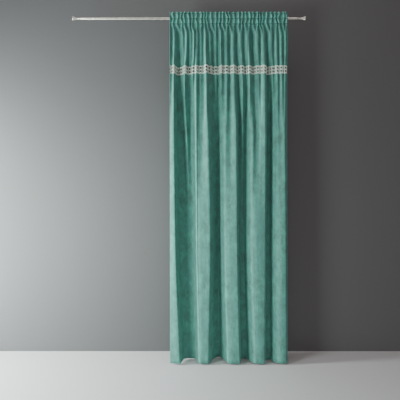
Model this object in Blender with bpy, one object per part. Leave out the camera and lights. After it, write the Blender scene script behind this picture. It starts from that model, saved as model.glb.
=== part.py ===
"""Velvet curtain with a gathered heading and a lace band, hung on its rod.

Metres, +Z up. The origin is on the rod's axis at the middle of the rod's length. X runs to the
right along the rod, and the front of the curtain faces -Y.
"""
import math
import random

import bpy
import numpy as np

# Cloth, before and after it is hung
FLAT_WIDTH = 1.400
LENGTH = 2.700
HEADING_WIDTH = 0.912
HEM_WIDTH = 0.902
CLOTH_THICKNESS = 0.002
CURTAIN_CENTRE = 0.308
TOP = 0.0415
HEM = TOP - LENGTH

# Rod and finials
ROD_RADIUS = 0.010
ROD_LENGTH = 1.680
ROD_SIDES = 32
FINIAL_GAP = 0.0003
SOCKET_LENGTH = 0.003
SOCKET_RADIUS = 0.0085
NECK_LENGTH = 0.026
NECK_RADIUS = 0.0065
SHOULDER_LENGTH = 0.002
FLARE_LENGTH = 0.038
FLARE_RADIUS = 0.0175
FLARE_STEPS = 5
FLARE_POWER = 1.4
RIM_LENGTH = 0.004
RIM_BEVEL = 0.001
RIM_BEVEL_DEPTH = 0.0015

# Heading: pencil pleats drawn up by three cords in a tape
COLUMNS_PER_PLEAT = 4
COLUMNS = 126
PLEATS_ACROSS = COLUMNS / COLUMNS_PER_PLEAT
PLEAT_COUNT = 32
FIRST_CREST = 0.125
PLEAT_DEPTH = 0.018
PLEAT_GROOVE = 0.75
PLEAT_JITTER = 0.22
PLEAT_UNEVENNESS = 0.12
PLEAT_SWAY = 0.0022
PLEAT_SWAY_PITCH = 0.080
PLEAT_SEED = 7
PLEAT_END = -0.062
TAPE_THICKNESS = 0.0015
TAPE_TOP = 0.0345
TAPE_BOTTOM = -0.0585
TAPE_SHOULDER = 0.011
TAPE_BESIDE_ROD = 0.008
TAPE_SLACK = 0.0006
ROD_CLEARANCE = 0.0005
SEAM_GAP = 0.0004

# Lace band sewn on the front of the cloth
BAND_TOP = -0.376
BAND_BOTTOM = -0.441
BAND_THICKNESS = 0.0012
BAND_GAP = 0.0005
BAND_NOTCH = 0.006
ABOVE_LACE = -0.320
BELOW_LACE = -0.520
HOLE_ROWS = 2
HOLE_ROW_PITCH = 0.0250
HOLE_HEIGHT = 0.0130
HOLE_WIDTH = 0.0120

# Heights at which the table gives the folds
BAND_LEVEL = -0.520
KNEE_LEVEL = -1.710
FOLD_LEVELS = (HEM, KNEE_LEVEL, BAND_LEVEL)

# Gathers between the heading and the folds. The two columns of x are millimetres from the
# curtain's left edge below the heading and below the lace. Height is a share of GATHER_DEPTH, and
# groove is how narrow the groove on its right is, where 1 is an even wave. A groove is deep for
# its width by GROOVE_DEPTH. Pleats is how many of the heading's pleats join in the gather.
GATHERS_FULL = -0.135
SHOULDER_LEVEL = -0.220
GATHERS_WEAKER = -0.340
GATHERS_FADED = -0.900
FOLDS_START = -0.120
FOLDS_FULL = -0.600
GATHER_DEPTH = 0.012
GROOVE_DEPTH = 0.52
GATHERS = (
    # x shoulder, x band, height, groove, pleats
    (-3,   -3, 0.90, 1.0, 2),
    (36,   32, 0.95, 0.8, 1),
    (98,   88, 0.45, 1.0, 2),
    (130, 113, 1.30, 0.8, 1),
    (160, 146, 0.45, 1.0, 1),
    (186, 175, 1.60, 0.8, 1),
    (213, 206, 0.75, 1.0, 1),
    (241, 235, 0.45, 1.0, 1),
    (275, 282, 1.60, 0.8, 1),
    (312, 321, 0.80, 1.0, 1),
    (354, 358, 0.65, 1.0, 2),
    (392, 398, 1.15, 0.8, 1),
    (434, 439, 0.90, 1.5, 2),
    (484, 484, 1.00, 2.0, 2),
    (543, 551, 1.00, 1.8, 2),
    (596, 606, 0.95, 1.8, 2),
    (674, 680, 0.90, 2.2, 2),
    (718, 718, 0.90, 2.2, 2),
    (780, 788, 0.85, 2.0, 2),
    (820, 826, 0.80, 2.0, 1),
    (856, 858, 0.85, 2.0, 1),
    (893, 892, 0.80, 1.0, 2),
    (918, 918, 0.80, 1.0, 1),
)

# One row for each line that runs down the folds. The three columns of x are millimetres from the
# curtain's left edge at the band, the knee and the hem. The three columns of depth are
# millimetres in front of the foremost plane there, so a trough is negative.
FOLD_LINES = (
    # name,            x band, knee, hem,  depth band, knee, hem
    ("left edge",           0,    0,    0,        -12,  -14,  -12),
    ("crest A",            28,   40,   72,          0,    0,    0),
    ("trough A left",      58,   70,  108,        -52,  -76,  -82),
    ("trough A right",     90,  126,  156,        -60,  -90,  -94),
    ("rib in A",          112,  156,  183,        -14,  -90,  -90),
    ("foot B",            146,  175,  194,        -50,  -84,  -76),
    ("shoulder B",        178,  189,  209,        -28,  -56,  -38),
    ("crease B",          203,  208,  227,         -2,   -8,   -4),
    ("dip B",             226,  240,  244,        -14,   -1,    0),
    ("crest B",           284,  304,  288,          7,    2,    0),
    ("trough C left",     324,  340,  334,        -34,  -58,  -82),
    ("trough C right",    372,  379,  380,        -44,  -88, -114),
    ("crease C",          390,  394,  412,        -10,  -44,  -80),
    ("crest C left",      428,  426,  446,         -1,   -6,   -6),
    ("dip C",             450,  466,  488,        -12,   -1,    0),
    ("crest C right",     503,  509,  528,          3,    1,    0),
    ("trough D left",     528,  536,  554,        -36,  -66,  -76),
    ("rib in D",          558,  556,  575,         -4,  -68,  -86),
    ("trough D right",    590,  576,  598,        -38,  -72,  -80),
    ("crease D",          608,  600,  622,         -8,  -26,  -34),
    ("crest D left",      634,  632,  656,         -4,   -4,   -2),
    ("dip D",             654,  662,  686,        -24,    0,    0),
    ("crest D right",     728,  722,  718,          3,   -3,   -2),
    ("trough E left",     754,  748,  744,        -42,  -62,  -64),
    ("trough E right",    774,  770,  776,        -52,  -68,  -72),
    ("crease E",          792,  802,  806,        -16,  -18,  -22),
    ("crest E left",      826,  836,  840,         -8,   -7,   -5),
    ("dip E",             842,  854,  862,         -9,   -5,   -3),
    ("crest E right",     868,  879,  883,         -3,   -5,   -4),
    ("right edge",        902,  902,  902,        -34,  -30,  -26),
)

# Heights of the rows of faces, from the top edge down
UPPER_ROWS = (TOP, TAPE_TOP, 0.0, TAPE_BOTTOM, -0.095, GATHERS_FULL, -0.200, -0.260, -0.320,
              BAND_TOP, BAND_BOTTOM, BAND_LEVEL, -0.630, -0.760)
LOWER_ROWS = (-0.900, -1.160, -1.430, KNEE_LEVEL, -2.020, -2.340, HEM)
SECTION_SAMPLES = 1400
LEAST_SPAN = 1e-6
DEEPEST_SCALE = 2.0
SCALE_STEPS = 40
LEAST_MITRE = 0.7
SMOOTH_ANGLE = 40.0

# Colours as linear red, green, blue, then roughness and metallic value
VELVET = ((0.130, 0.310, 0.270), 0.90, 0.0)
TAPE_CLOTH = ((0.620, 0.640, 0.600), 0.85, 0.0)
LACE = ((0.640, 0.680, 0.600), 0.80, 0.0)
SATIN_STEEL = ((0.560, 0.550, 0.510), 0.35, 1.0)


def clear_scene():
    """Remove the objects that a new file starts with."""
    for obj in list(bpy.data.objects):
        bpy.data.objects.remove(obj, do_unlink=True)


def make_material(name, finish):
    """A plain surface of one colour."""
    colour, roughness, metallic = finish
    material = bpy.data.materials.new(name)
    material.use_nodes = True
    shader = material.node_tree.nodes["Principled BSDF"]
    shader.inputs["Base Color"].default_value = (*colour, 1.0)
    shader.inputs["Roughness"].default_value = roughness
    shader.inputs["Metallic"].default_value = metallic
    return material


def add_object(name, vertices, faces, material):
    """One named object from its points and faces, smooth except at sharp edges."""
    mesh = bpy.data.meshes.new(name)
    mesh.from_pydata(vertices, [], faces)
    mesh.update()
    mesh.shade_smooth()
    mesh.set_sharp_from_angle(angle=math.radians(SMOOTH_ANGLE))
    mesh.materials.append(material)
    obj = bpy.data.objects.new(name, mesh)
    bpy.context.scene.collection.objects.link(obj)
    return obj


def smooth_step(start, end, value):
    """0 at start, 1 at end, with an even ease between them."""
    t = min(max((value - start) / (end - start), 0.0), 1.0)
    return t * t * (3.0 - 2.0 * t)


def smooth_curve(knots, heights, places):
    """A curve through the knots that never swings past them."""
    step = np.diff(knots)
    slope = np.diff(heights) / step
    tangent = np.zeros(len(knots))
    product = slope[:-1] * slope[1:]
    total = np.where(product > 0, slope[:-1] + slope[1:], 1.0)
    tangent[1:-1] = np.where(product > 0, 2.0 * product / total, 0.0)
    tangent[0] = slope[0]
    tangent[-1] = slope[-1]
    left = np.clip(np.searchsorted(knots, places) - 1, 0, len(step) - 1)
    t = (places - knots[left]) / step[left]
    rise = heights[left + 1] - heights[left]
    return (heights[left] + rise * t * t * (3.0 - 2.0 * t)
            + step[left] * t * (1.0 - t) * (tangent[left] * (1.0 - t) - tangent[left + 1] * t))


def fold_knots(z):
    """Places and depths of the fold lines at height z, in metres."""
    x_rows = np.array([row[1:4] for row in FOLD_LINES]) / 1000.0
    depth_rows = np.array([row[4:7] for row in FOLD_LINES]) / 1000.0
    levels = np.array(FOLD_LEVELS)
    level = np.array([min(max(z, HEM), BAND_LEVEL)])
    places = [smooth_curve(levels, row[::-1], level)[0] for row in x_rows]
    depths = [smooth_curve(levels, row[::-1], level)[0] for row in depth_rows]
    return np.array(places), np.array(depths)


def ridge_wave(x, crests, heights, levels, grooves):
    """A wave from its crests' places and heights, and the levels and shapes of the grooves."""
    left = np.clip(np.searchsorted(crests, x) - 1, 0, len(crests) - 2)
    spans = np.maximum(np.diff(crests), LEAST_SPAN)
    t = np.clip((x - crests[left]) / spans[left], 0.0, 1.0)
    along = 0.5 - 0.5 * np.cos(math.pi * t)
    crest_line = heights[left] + np.diff(heights)[left] * along
    groove = (0.5 - 0.5 * np.cos(2.0 * math.pi * t)) ** grooves[left]
    wave = crest_line + (levels[left] - crest_line) * groove
    return wave - 0.5 * (wave.max() + wave.min())


def pleat_crests(z, width):
    """Places and heights of the pencil pleats' crests at height z."""
    dice = random.Random(PLEAT_SEED)
    pitch = width / PLEATS_ACROSS
    crests = []
    heights = []
    for j in range(-1, PLEAT_COUNT + 1):
        place = j + FIRST_CREST + PLEAT_JITTER * dice.uniform(-1.0, 1.0)
        sway = dice.uniform(0.0, 2.0 * math.pi) + 2.0 * math.pi * z / PLEAT_SWAY_PITCH
        crests.append(place * pitch + PLEAT_SWAY * math.sin(sway))
        heights.append(PLEAT_DEPTH * (1.0 + PLEAT_UNEVENNESS * dice.uniform(-1.0, 1.0)))
    return np.array(crests), np.array(heights)


def gathered_wave(x, z, width):
    """Depth at height z of the pleats, and of the gathers that they join in below the heading."""
    at_shoulder, at_band, shares, grooves, pleats = np.array(GATHERS).T
    own = np.repeat(np.arange(len(GATHERS)), pleats.astype(int))
    down = smooth_step(SHOULDER_LEVEL, BAND_LEVEL, z)
    gathers = (at_shoulder + (at_band - at_shoulder) * down)[own] / 1000.0
    fronts = GATHER_DEPTH * shares[own]
    joined = smooth_step(PLEAT_END, GATHERS_FULL, z)
    crests, heights = pleat_crests(z, width)
    crests += (gathers - crests) * joined
    heights += (fronts - heights) * joined
    levels = joined * (0.5 * (fronts[:-1] + fronts[1:]) - GROOVE_DEPTH * np.diff(gathers))
    narrow = PLEAT_GROOVE + joined * (grooves[own[:-1]] - PLEAT_GROOVE)
    return ridge_wave(x, crests, heights, levels, narrow)


def stiffened(z):
    """The height whose folds the cloth has at z: the lace keeps them in one shape along it."""
    half = 0.5 * (BAND_TOP - BAND_BOTTOM)
    return z + np.interp(z, (BELOW_LACE, BAND_BOTTOM, BAND_TOP, ABOVE_LACE), (0.0, half, -half, 0.0))


def section(z):
    """The cloth's curve at height z: places along X from its left edge, and depths to the front.

    Pleats join into gathers below the heading, and these fade into folds. All are deepened alike
    until the curve is as long as the flat cloth is wide.
    """
    z = stiffened(z)
    width = HEADING_WIDTH + (HEM_WIDTH - HEADING_WIDTH) * (TOP - z) / LENGTH
    x = np.linspace(0.0, width, SECTION_SAMPLES)
    knots, depths = fold_knots(z)
    folds = smooth_curve(knots * width / HEM_WIDTH, depths, x)
    gather_share = 1.0 - smooth_step(GATHERS_WEAKER, GATHERS_FADED, z)
    fold_share = smooth_step(FOLDS_START, FOLDS_FULL, z)
    shape = gather_share * gathered_wave(x, z, width) + fold_share * (folds - folds.mean())
    low, high = 0.0, DEEPEST_SCALE
    for _ in range(SCALE_STEPS):
        scale = 0.5 * (low + high)
        cloth = np.hypot(np.diff(x), scale * np.diff(shape)).sum()
        low, high = (scale, high) if cloth < FLAT_WIDTH else (low, scale)
    return x, scale * shape


def hang_line():
    """Y of the cloth's mean plane: its pleats just clear the front of the rod."""
    x, depth = section(0.0)
    return depth.min() - (ROD_RADIUS + ROD_CLEARANCE + 0.5 * CLOTH_THICKNESS)


def cloth_line(z, columns):
    """Points (x, y) of the cloth's middle at height z, evenly spaced along the cloth."""
    x, depth = section(z)
    run = np.concatenate(([0.0], np.cumsum(np.hypot(np.diff(x), np.diff(depth)))))
    stops = np.linspace(0.0, run[-1], columns + 1)
    left = CURTAIN_CENTRE - 0.5 * x[-1]
    xs = left + np.interp(stops, run, x)
    ys = hang_line() - np.interp(stops, run, depth)
    return list(zip(xs, ys))


def forward_normals(line):
    """Mitred normals of a line of points, pointing to the front."""
    normals = []
    for i in range(len(line)):
        sides = []
        for a, b in ((i - 1, i), (i, i + 1)):
            if a >= 0 and b < len(line):
                dx = line[b][0] - line[a][0]
                dy = line[b][1] - line[a][1]
                size = math.hypot(dx, dy)
                sides.append((dy / size, -dx / size))
        first, last = sides[0], sides[-1]
        share = max(1.0 + first[0] * last[0] + first[1] * last[1], LEAST_MITRE)
        normals.append(((first[0] + last[0]) / share, (first[1] + last[1]) / share))
    return normals


def shifted(line, distance):
    """The line moved to the front by distance along its mitred normals."""
    normals = forward_normals(line)
    return [(x + distance * nx, y + distance * ny) for (x, y), (nx, ny) in zip(line, normals)]


def strip_faces(upper, lower):
    """Triangles between two rows of point numbers, seen from the front.

    The lower row has as many points as the upper one, or every second one of them.
    """
    faces = []
    if len(upper) == len(lower):
        for i in range(len(upper) - 1):
            faces.append((upper[i], lower[i], lower[i + 1]))
            faces.append((upper[i], lower[i + 1], upper[i + 1]))
        return faces
    for i in range(len(lower) - 1):
        start, middle, end = upper[2 * i], upper[2 * i + 1], upper[2 * i + 2]
        faces.append((start, lower[i], middle))
        faces.append((middle, lower[i], lower[i + 1]))
        faces.append((middle, lower[i + 1], end))
    return faces


def sheet_solid(rows, thickness):
    """Points and faces of a closed sheet whose middle runs through the rows of (line, z)."""
    vertices = []
    front = []
    back = []
    for side, distance in ((front, 0.5 * thickness), (back, -0.5 * thickness)):
        for line, z in rows:
            start = len(vertices)
            vertices += [(x, y, z) for x, y in shifted(line, distance)]
            side.append(list(range(start, len(vertices))))
    faces = []
    for r in range(len(rows) - 1):
        faces += strip_faces(front[r], front[r + 1])
        faces += [face[::-1] for face in strip_faces(back[r], back[r + 1])]
    faces += strip_faces(back[0], front[0])
    faces += strip_faces(front[-1], back[-1])
    left_front = [row[0] for row in front]
    left_back = [row[0] for row in back]
    right_front = [row[-1] for row in front]
    right_back = [row[-1] for row in back]
    faces += strip_faces(left_front, left_back)
    faces += strip_faces(right_back, right_front)
    return vertices, faces


def build_panel(material):
    """The velvet: one sheet with its turned top and its hems."""
    rows = [(cloth_line(z, COLUMNS), z) for z in UPPER_ROWS]
    rows += [(cloth_line(z, COLUMNS // 2), z) for z in LOWER_ROWS]
    vertices, faces = sheet_solid(rows, CLOTH_THICKNESS)
    return add_object("panel", vertices, faces, material)


def build_heading_tape(material):
    """The gathered tape: sewn to the cloth at its two edges, and round the back of the rod."""
    seam = -(0.5 * CLOTH_THICKNESS + SEAM_GAP + 0.5 * TAPE_THICKNESS)
    line = cloth_line(0.0, COLUMNS)
    clear = ROD_RADIUS + ROD_CLEARANCE + 0.5 * TAPE_THICKNESS
    foremost = min(y for x, y in line)
    behind = clear + TAPE_SLACK - foremost
    beside = TAPE_BESIDE_ROD - foremost
    rows = [(shifted(cloth_line(TAPE_TOP, COLUMNS), seam), TAPE_TOP)]
    for z, back in ((TAPE_SHOULDER, beside), (0.0, behind), (-TAPE_SHOULDER, beside)):
        rows.append(([(x, y + back) for x, y in line], z))
    rows.append((shifted(cloth_line(TAPE_BOTTOM, COLUMNS), seam), TAPE_BOTTOM))
    vertices, faces = sheet_solid(rows, TAPE_THICKNESS)
    return add_object("heading_tape", vertices, faces, material)


def band_half_cell(hole_side, plain_side, reach):
    """Faces of half a repeat between the column of holes and the plain column beside it.

    hole_side is a column of point numbers from the top down: edge, then two for each hole, then
    edge. plain_side is edge and edge. reach holds the outer corner of each hole.
    """
    upper, lower = plain_side
    corner_1, corner_2 = reach
    edge_top, top_1, low_1, top_2, low_2, edge_low = hole_side
    return [(edge_top, top_1, corner_1, upper), (upper, corner_1, corner_2, lower),
            (low_1, top_2, corner_2, corner_1), (low_2, edge_low, lower, corner_2)]


def build_lace_band(material):
    """The lace: two rows of diamond holes, and edges notched at each hole, on the cloth's folds."""
    upper_line = cloth_line(BAND_TOP, COLUMNS)
    lower_line = cloth_line(BAND_BOTTOM, COLUMNS)
    middle = 0.5 * (BAND_TOP + BAND_BOTTOM)
    half = 0.5 * HOLE_HEIGHT
    hole_tops = [middle + 0.5 * HOLE_ROW_PITCH + half, middle - 0.5 * HOLE_ROW_PITCH + half]
    column_pitch = FLAT_WIDTH / COLUMNS
    vertices = []
    faces = []

    def point(u, z, distance):
        """A point on the band: u columns from the left, at height z, off the cloth's middle."""
        i = min(int(u), COLUMNS - 1)
        mix = (BAND_TOP - z) / (BAND_TOP - BAND_BOTTOM)
        ends = []
        for k in (i, i + 1):
            x = lines[distance][0][k][0] * (1 - mix) + lines[distance][1][k][0] * mix
            y = lines[distance][0][k][1] * (1 - mix) + lines[distance][1][k][1] * mix
            ends.append((x, y))
        t = u - i
        vertices.append((ends[0][0] + t * (ends[1][0] - ends[0][0]),
                         ends[0][1] + t * (ends[1][1] - ends[0][1]), z))
        return len(vertices) - 1

    near = 0.5 * CLOTH_THICKNESS + BAND_GAP
    far = near + BAND_THICKNESS
    lines = {d: (shifted(upper_line, d), shifted(lower_line, d)) for d in (near, far)}
    skins = {}
    for distance in (far, near):
        columns = []
        corners = []
        for i in range(COLUMNS + 1):
            if i % 2 == 1:
                levels = [BAND_TOP - BAND_NOTCH]
                for top in hole_tops:
                    levels += [top, top - HOLE_HEIGHT]
                levels.append(BAND_BOTTOM + BAND_NOTCH)
            else:
                levels = [BAND_TOP, BAND_BOTTOM]
            columns.append([point(i, z, distance) for z in levels])
        for i in range(COLUMNS):
            reach = 0.5 * HOLE_WIDTH / column_pitch
            u = i + 1 - reach if i % 2 == 0 else i + reach
            corners.append([point(u, top - half, distance) for top in hole_tops])
        skins[distance] = (columns, corners)
    for i in range(COLUMNS):
        left_is_plain = i % 2 == 0
        cells = {}
        for distance in (far, near):
            columns, corners = skins[distance]
            if left_is_plain:
                cell = band_half_cell(columns[i + 1], columns[i], corners[i])
                cell = [face[::-1] for face in cell]
            else:
                cell = band_half_cell(columns[i], columns[i + 1], corners[i])
            cells[distance] = cell
        faces += cells[far]
        faces += [face[::-1] for face in cells[near]]
        faces += hole_walls(skins[far], skins[near], i, left_is_plain)
    for i in range(COLUMNS):
        for end in (0, -1):
            outer = (skins[far][0][i][end], skins[far][0][i + 1][end])
            inner = (skins[near][0][i][end], skins[near][0][i + 1][end])
            wall = (outer[0], outer[1], inner[1], inner[0])
            faces.append(wall if end == 0 else wall[::-1])
    for i, turn in ((0, 1), (COLUMNS, -1)):
        outer = skins[far][0][i]
        inner = skins[near][0][i]
        wall = (outer[0], inner[0], inner[-1], outer[-1])
        faces.append(wall[::turn])
    return add_object("lace_band", vertices, faces, material)


def hole_walls(front, back, i, left_is_plain):
    """The walls of the two holes in half a repeat."""
    holes = i + 1 if left_is_plain else i
    walls = []
    for k in range(HOLE_ROWS):
        top_front, low_front = front[0][holes][1 + 2 * k], front[0][holes][2 + 2 * k]
        top_back, low_back = back[0][holes][1 + 2 * k], back[0][holes][2 + 2 * k]
        side_front, side_back = front[1][i][k], back[1][i][k]
        pair = [(top_front, side_front, side_back, top_back),
                (side_front, low_front, low_back, side_back)]
        walls += pair if left_is_plain else [wall[::-1] for wall in pair]
    return walls


def turned_solid(name, profile, x_start, direction, material):
    """A round solid along X from its profile of (distance along, radius)."""
    vertices = []
    faces = []
    rings = []
    for along, radius in profile:
        x = x_start + direction * along
        start = len(vertices)
        for k in range(ROD_SIDES):
            angle = 2.0 * math.pi * k / ROD_SIDES
            vertices.append((x, radius * math.cos(angle), radius * math.sin(angle)))
        rings.append(list(range(start, len(vertices))))
    for ring, following in zip(rings, rings[1:]):
        for k in range(ROD_SIDES):
            n = (k + 1) % ROD_SIDES
            faces.append((ring[k], ring[n], following[n], following[k]))
    faces.append(tuple(rings[0][::-1]))
    faces.append(tuple(rings[-1]))
    if direction < 0:
        faces = [face[::-1] for face in faces]
    return add_object(name, vertices, faces, material)


def finial_profile():
    """A short socket and a neck, then a bell that flares to a rim with a bevelled edge."""
    neck_start = SOCKET_LENGTH + SHOULDER_LENGTH
    flare_start = NECK_LENGTH + SHOULDER_LENGTH
    end = NECK_LENGTH + FLARE_LENGTH
    flare_end = end - RIM_LENGTH
    profile = [(0.0, SOCKET_RADIUS), (SOCKET_LENGTH, SOCKET_RADIUS), (neck_start, NECK_RADIUS),
               (NECK_LENGTH, NECK_RADIUS), (flare_start, SOCKET_RADIUS)]
    for k in range(1, FLARE_STEPS + 1):
        t = k / FLARE_STEPS
        radius = SOCKET_RADIUS + (FLARE_RADIUS - SOCKET_RADIUS) * t ** FLARE_POWER
        profile.append((flare_start + t * (flare_end - flare_start), radius))
    profile += [(end - RIM_BEVEL, FLARE_RADIUS), (end, FLARE_RADIUS - RIM_BEVEL_DEPTH)]
    return profile


def build_rod(material):
    """The plain round rod."""
    profile = [(0.0, ROD_RADIUS), (ROD_LENGTH, ROD_RADIUS)]
    return turned_solid("rod", profile, -0.5 * ROD_LENGTH, 1.0, material)


def build_finials(material):
    """A flared finial at each end of the rod."""
    reach = 0.5 * ROD_LENGTH + FINIAL_GAP
    for name, direction in (("finial_right", 1.0), ("finial_left", -1.0)):
        turned_solid(name, finial_profile(), direction * reach, direction, material)


def main():
    clear_scene()
    steel = make_material("satin_steel", SATIN_STEEL)
    build_panel(make_material("velvet", VELVET))
    build_heading_tape(make_material("tape", TAPE_CLOTH))
    build_lace_band(make_material("lace", LACE))
    build_rod(steel)
    build_finials(steel)


main()
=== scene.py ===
"""Looks of the velvet curtain: fine folds, puckered heading, lace, tape with cords, metal."""
import math
import random

import bpy
import numpy as np
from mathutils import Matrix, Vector


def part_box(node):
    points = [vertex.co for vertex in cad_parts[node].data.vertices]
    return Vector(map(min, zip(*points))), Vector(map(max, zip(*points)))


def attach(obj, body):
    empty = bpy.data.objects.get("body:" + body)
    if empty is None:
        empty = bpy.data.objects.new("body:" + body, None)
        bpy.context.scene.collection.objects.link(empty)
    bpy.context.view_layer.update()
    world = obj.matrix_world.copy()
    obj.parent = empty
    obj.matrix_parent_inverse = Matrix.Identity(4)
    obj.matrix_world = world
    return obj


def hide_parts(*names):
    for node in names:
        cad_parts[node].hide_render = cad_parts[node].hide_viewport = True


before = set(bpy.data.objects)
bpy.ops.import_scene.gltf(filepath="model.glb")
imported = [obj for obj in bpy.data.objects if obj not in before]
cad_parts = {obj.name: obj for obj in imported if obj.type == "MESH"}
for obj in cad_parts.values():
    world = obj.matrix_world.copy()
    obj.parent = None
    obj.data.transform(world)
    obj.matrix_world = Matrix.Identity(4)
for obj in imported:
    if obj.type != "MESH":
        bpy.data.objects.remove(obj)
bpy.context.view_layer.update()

# Places taken from the frame, in metres
PANEL_LOW, PANEL_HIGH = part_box("panel")
BAND_LOW, BAND_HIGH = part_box("lace_band")
TAPE_LOW, TAPE_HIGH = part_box("heading_tape")
ROD_LOW, ROD_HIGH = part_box("rod")
TOP = PANEL_HIGH[2]
HEM = PANEL_LOW[2]
BAND_TOP = BAND_HIGH[2]
BAND_BOTTOM = BAND_LOW[2]
TAPE_TOP = TAPE_HIGH[2]
TAPE_BOTTOM = TAPE_LOW[2]
ROD_RADIUS = 0.5 * (ROD_HIGH[2] - ROD_LOW[2])

# The tables of folds are in millimetres
MM_PER_METRE = 1000.0

# Cloth, before and after it is hung
FLAT_WIDTH = 1.400
LENGTH = 2.700
HEADING_WIDTH = 0.912
HEM_WIDTH = 0.902
CURTAIN_CENTRE = 0.308
CLOTH_THICKNESS = 0.0016

# Heading: pencil pleats drawn up by three cords in a tape
PLEAT_COUNT = 32
PLEATS_ACROSS = 31.5
FIRST_CREST = 0.125
PLEAT_DEPTH = 0.018
PLEAT_GROOVE = 0.75
PLEAT_JITTER = 0.22
PLEAT_UNEVENNESS = 0.12
PLEAT_SWAY = 0.0022
PLEAT_SWAY_PITCH = 0.080
PLEAT_SEED = 7
PLEAT_END = -0.062
ROD_CLEARANCE = 0.0005
ROD_LEVELS = 9
CORD_HEIGHTS = (0.0315, -0.0085, -0.0485)
CORD_SHIFT = 0.30
ZIGZAG_BELOW_TAPE = 0.03
ZIGZAG_ABOVE_TOP = 0.01
PUCKER_DEPTH = 0.0095
PUCKER_HALF_HEIGHT = 0.0045
PUCKER_WANDER = 0.0045
PUCKER_LEAST = 0.3
PUCKER_MOST = 1.3
PUCKERS_PER_PLEAT = 3
PUCKER_SEED = 21

# Hems, seen from the back as a second layer
SIDE_HEM = 0.020
BOTTOM_HEM = 0.080
HEM_LAYER = 0.0012

# Tape at the back of the heading
TAPE_THICKNESS = 0.0009
SEAM_GAP = 0.0012
TAPE_COLUMNS = 378
TAPE_ROW = 0.0035
TAPE_SHOULDER = 0.011
TAPE_BESIDE_ROD = 0.008
TAPE_BEHIND_ROD = 0.0121
CORD_RADIUS = 0.0011
CORD_SIDES = 8
CORD_STEPS = 240
CORD_INSET = 0.003
KNOT_SWELL = 1.9
CORD_TIP = 0.4

# Lace: strands crossing in diamonds, whose repeat is one column of two open diamonds
REPEATS = 63
REPEAT = FLAT_WIDTH / REPEATS
HOLE_ROW = 0.0125
OUTER_NODE = 0.0248
TIP_HEIGHT = 0.0306
STRAND_HALF_WIDTH = 0.0015
EDGE_HALF_WIDTH = 0.0013
LACE_HALF_THICKNESS = 0.0013
LACE_LIFT = 0.0030
RING_RADIUS = 0.0036
RING_HALF_WIDTH = 0.0015
RING_STEPS = 14
BEAD_RADIUS = 0.0045
BEAD_SWELL = 1.15
BEAD_STEPS = 10
PICOT_RADIUS = 0.0019
PICOT_HALF_WIDTH = 0.0010
STRAND_SIDES = 6
STRAND_STEPS = 4
LACE_STOPS = 3024

# Heights between which the lace stiffens the cloth
ABOVE_LACE = -0.320
BELOW_LACE = -0.520

# Heights at which the table gives the folds
BAND_LEVEL = -0.520
KNEE_LEVEL = -1.710
FOLD_LEVELS = (HEM, KNEE_LEVEL, BAND_LEVEL)

# Gathers between the heading and the folds. The two columns of x are millimetres from the
# curtain's left edge below the heading and below the lace. Height is a share of GATHER_DEPTH, and
# groove is how narrow the groove on its right is, where 1 is an even wave. A groove is deep for
# its width by GROOVE_DEPTH. Pleats is how many of the heading's pleats join in the gather.
GATHERS_FULL = -0.135
SHOULDER_LEVEL = -0.220
GATHERS_WEAKER = -0.340
GATHERS_FADED = -0.900
FOLDS_START = -0.120
FOLDS_FULL = -0.600
GATHER_DEPTH = 0.012
GROOVE_DEPTH = 0.52
GATHERS = (
    # x shoulder, x band, height, groove, pleats
    (-3,   -3, 0.90, 1.0, 2),
    (36,   32, 0.95, 0.8, 1),
    (98,   88, 0.45, 1.0, 2),
    (130, 113, 1.30, 0.8, 1),
    (160, 146, 0.45, 1.0, 1),
    (186, 175, 1.60, 0.8, 1),
    (213, 206, 0.75, 1.0, 1),
    (241, 235, 0.45, 1.0, 1),
    (275, 282, 1.60, 0.8, 1),
    (312, 321, 0.80, 1.0, 1),
    (354, 358, 0.65, 1.0, 2),
    (392, 398, 1.15, 0.8, 1),
    (434, 439, 0.90, 1.5, 2),
    (484, 484, 1.00, 2.0, 2),
    (543, 551, 1.00, 1.8, 2),
    (596, 606, 0.95, 1.8, 2),
    (674, 680, 0.90, 2.2, 2),
    (718, 718, 0.90, 2.2, 2),
    (780, 788, 0.85, 2.0, 2),
    (820, 826, 0.80, 2.0, 1),
    (856, 858, 0.85, 2.0, 1),
    (893, 892, 0.80, 1.0, 2),
    (918, 918, 0.80, 1.0, 1),
)

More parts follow.
